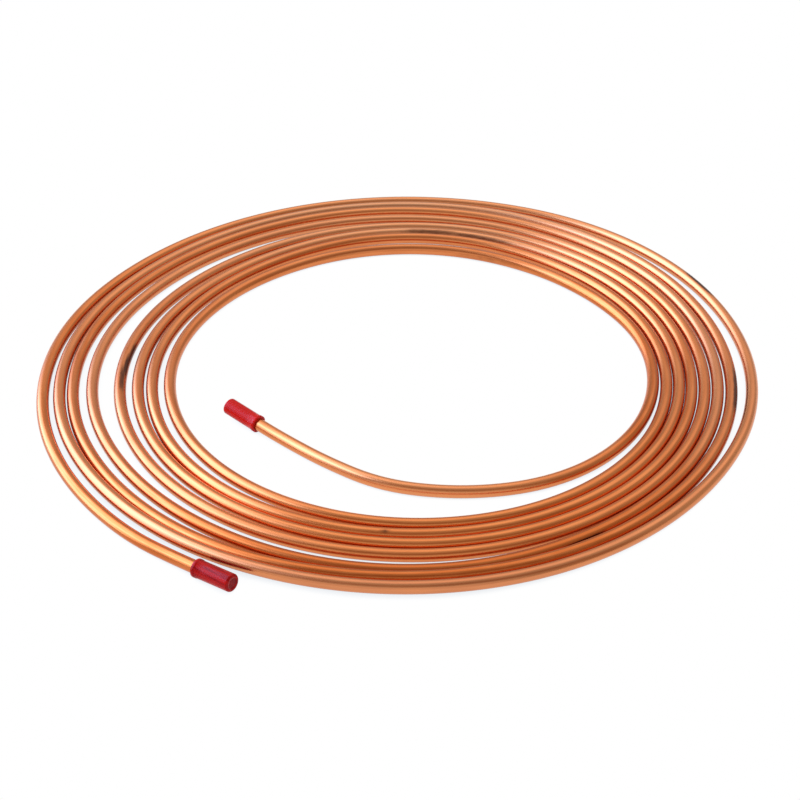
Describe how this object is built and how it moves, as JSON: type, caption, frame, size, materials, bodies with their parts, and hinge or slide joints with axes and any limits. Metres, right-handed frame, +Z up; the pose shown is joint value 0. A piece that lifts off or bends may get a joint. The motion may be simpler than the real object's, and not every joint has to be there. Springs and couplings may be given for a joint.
{
  "type": "copper tube coil",
  "caption": "Flat open coil of soft copper tube for plumbing or refrigeration lines, with a push-on cap on each end.",
  "frame": {"origin": "on the floor, under the middle of the coil's outline", "axes": "+Z up, square to the coil's plane; -Y towards the side where the outer end lies, +X to that side's right"},
  "size_m": [0.598, 0.5836, 0.0166],
  "materials": {
    "copper": "drawn soft copper, half bright, lightly tarnished",
    "cap_plastic": "glossy moulded polyethylene"
  },
  "bodies": {
    "root": {"copper_tube": "copper", "inner_end_cap": "cap_plastic", "outer_end_cap": "cap_plastic"}
  },
  "joints": []
}
